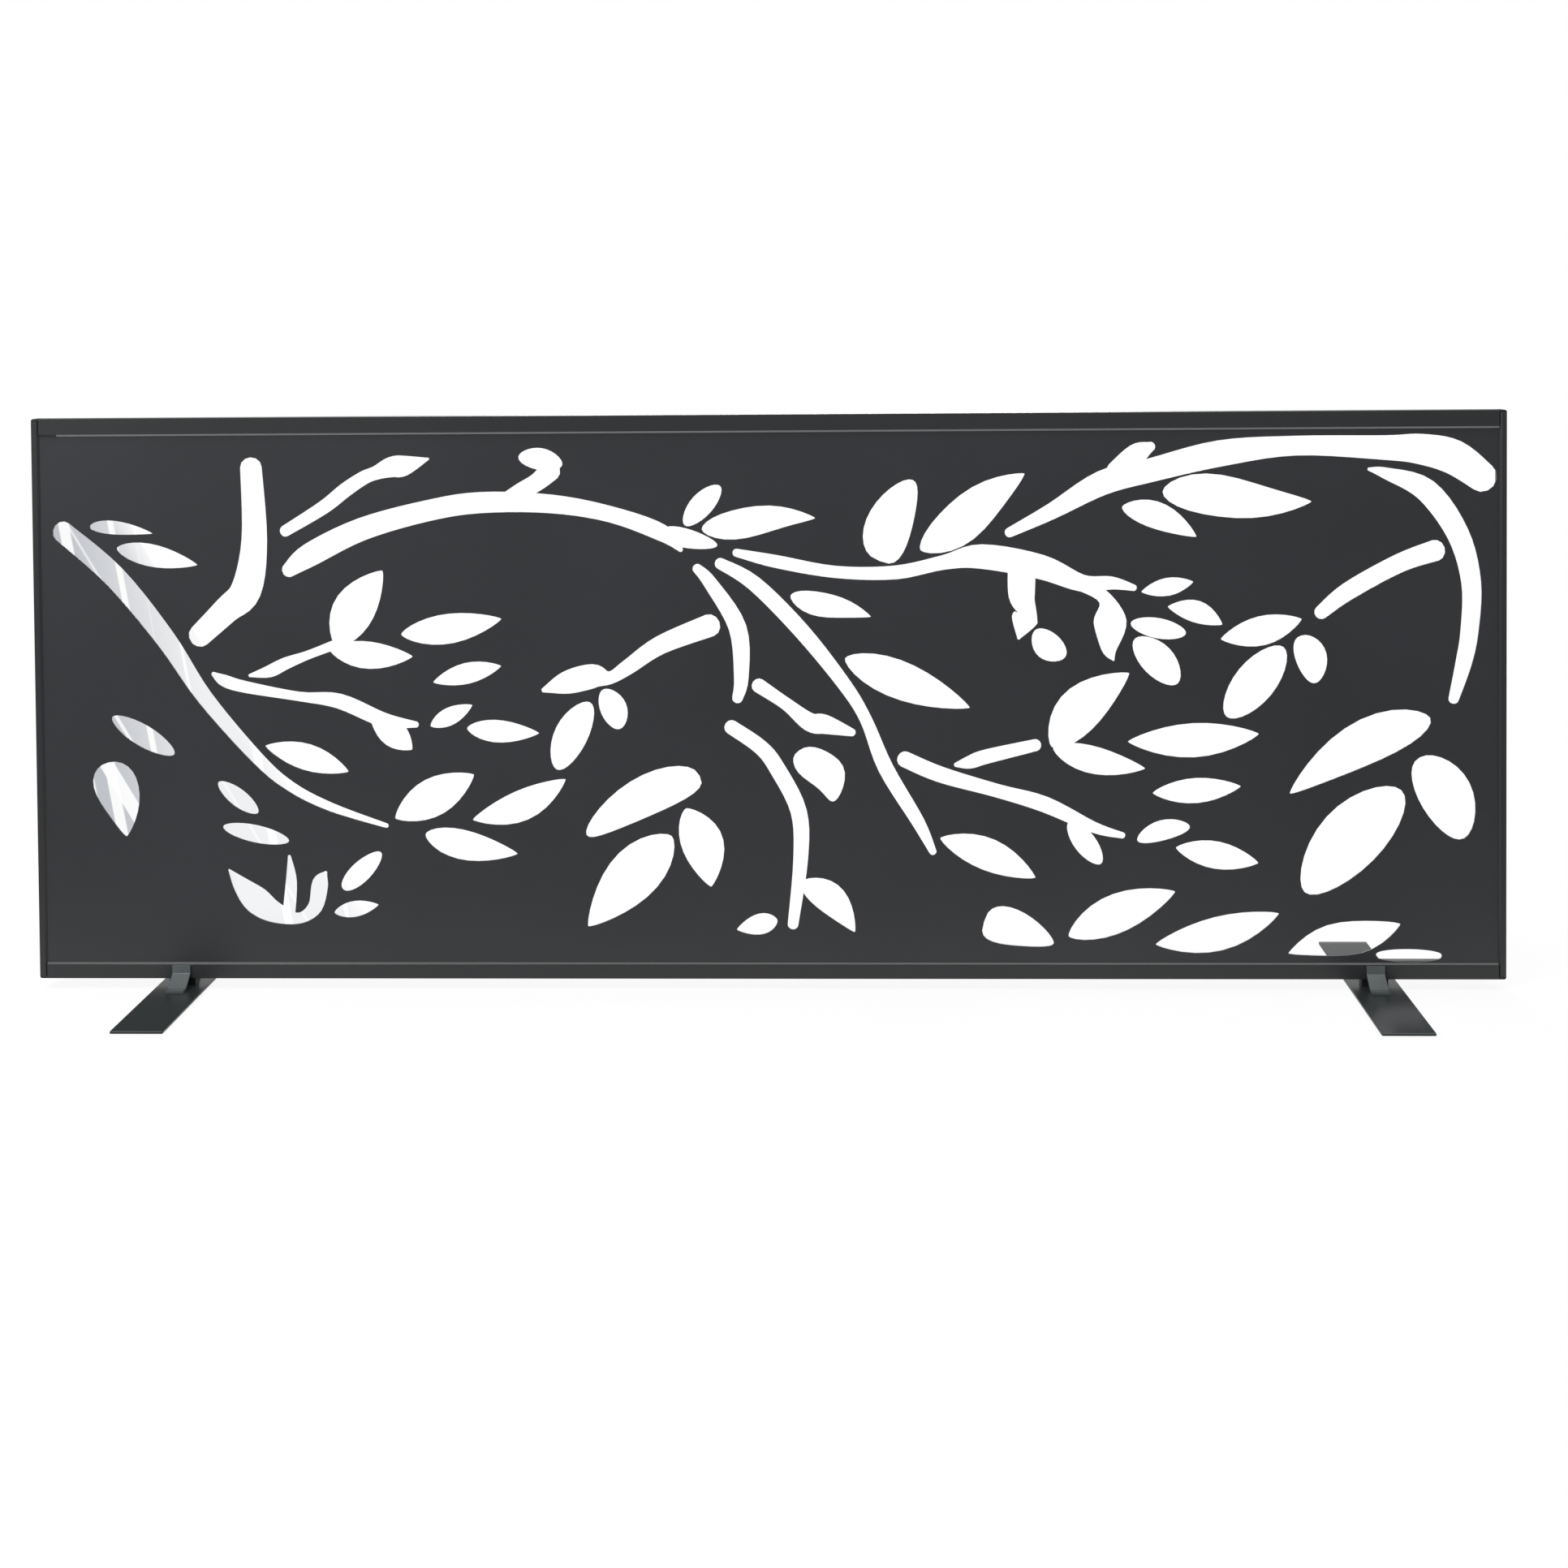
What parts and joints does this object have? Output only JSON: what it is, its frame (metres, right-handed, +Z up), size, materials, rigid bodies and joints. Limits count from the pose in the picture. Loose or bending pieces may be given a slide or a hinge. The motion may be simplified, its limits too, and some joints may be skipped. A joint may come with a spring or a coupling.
{
  "type": "decorative screen panel",
  "caption": "Low free-standing screen with a leaf and branch cut-out sheet over a clear pane, in a slim metal frame on flat feet that clamp along the bottom rail.",
  "frame": {"origin": "on the floor below the middle of the panel, at the middle of the footprint", "axes": "+X along the panel to the right seen from the front, -Y towards the viewer of the cut-out sheet, +Z up"},
  "size_m": [1.8, 0.44, 0.706],
  "materials": {
    "sheet_coat": "satin anthracite powder coat on 2 mm sheet",
    "frame_coat": "satin anthracite powder coat on extruded profile",
    "foot_coat": "satin grey powder coat on 3 mm flat bar",
    "bracket_coat": "satin lighter grey powder coat on bent strip",
    "clear_acrylic": "clear polished acrylic pane",
    "gasket_rubber": "black glazing rubber",
    "cap_plastic": "moulded dark grey plastic",
    "spacer_plastic": "moulded black plastic",
    "black_screw": "blackened steel screw",
    "zinc_steel": "zinc-plated steel"
  },
  "bodies": {
    "panel": {"cutout_sheet": "sheet_coat", "clear_pane": "clear_acrylic", "top_rail": "frame_coat", "bottom_rail": "frame_coat", "left_stile": "frame_coat", "right_stile": "frame_coat", "gasket_top": "gasket_rubber", "gasket_bottom": "gasket_rubber", "gasket_left": "gasket_rubber", "gasket_right": "gasket_rubber", "cap_top_left": "cap_plastic", "cap_top_right": "cap_plastic", "cap_bottom_left": "cap_plastic", "cap_bottom_right": "cap_plastic", "frame_screws": "black_screw"},
    "left_foot": {"left_foot_plate": "foot_coat", "left_front_bracket": "bracket_coat", "left_rear_bracket": "bracket_coat", "left_spacer_block": "spacer_plastic", "left_slide_nut": "zinc_steel", "left_clamp_screws": "zinc_steel", "left_bracket_screws": "zinc_steel", "left_foot_pads": "gasket_rubber"},
    "right_foot": {"right_foot_plate": "foot_coat", "right_front_bracket": "bracket_coat", "right_rear_bracket": "bracket_coat", "right_spacer_block": "spacer_plastic", "right_slide_nut": "zinc_steel", "right_clamp_screws": "zinc_steel", "right_bracket_screws": "zinc_steel", "right_foot_pads": "gasket_rubber"}
  },
  "joints": [
    {"name": "left_foot_slide", "type": "slide", "parent": "panel", "child": "left_foot", "axis": [1, 0, 0], "range_m": [-0.12, 0.4]},
    {"name": "right_foot_slide", "type": "slide", "parent": "panel", "child": "right_foot", "axis": [1, 0, 0], "range_m": [-0.4, 0.1]}
  ]
}
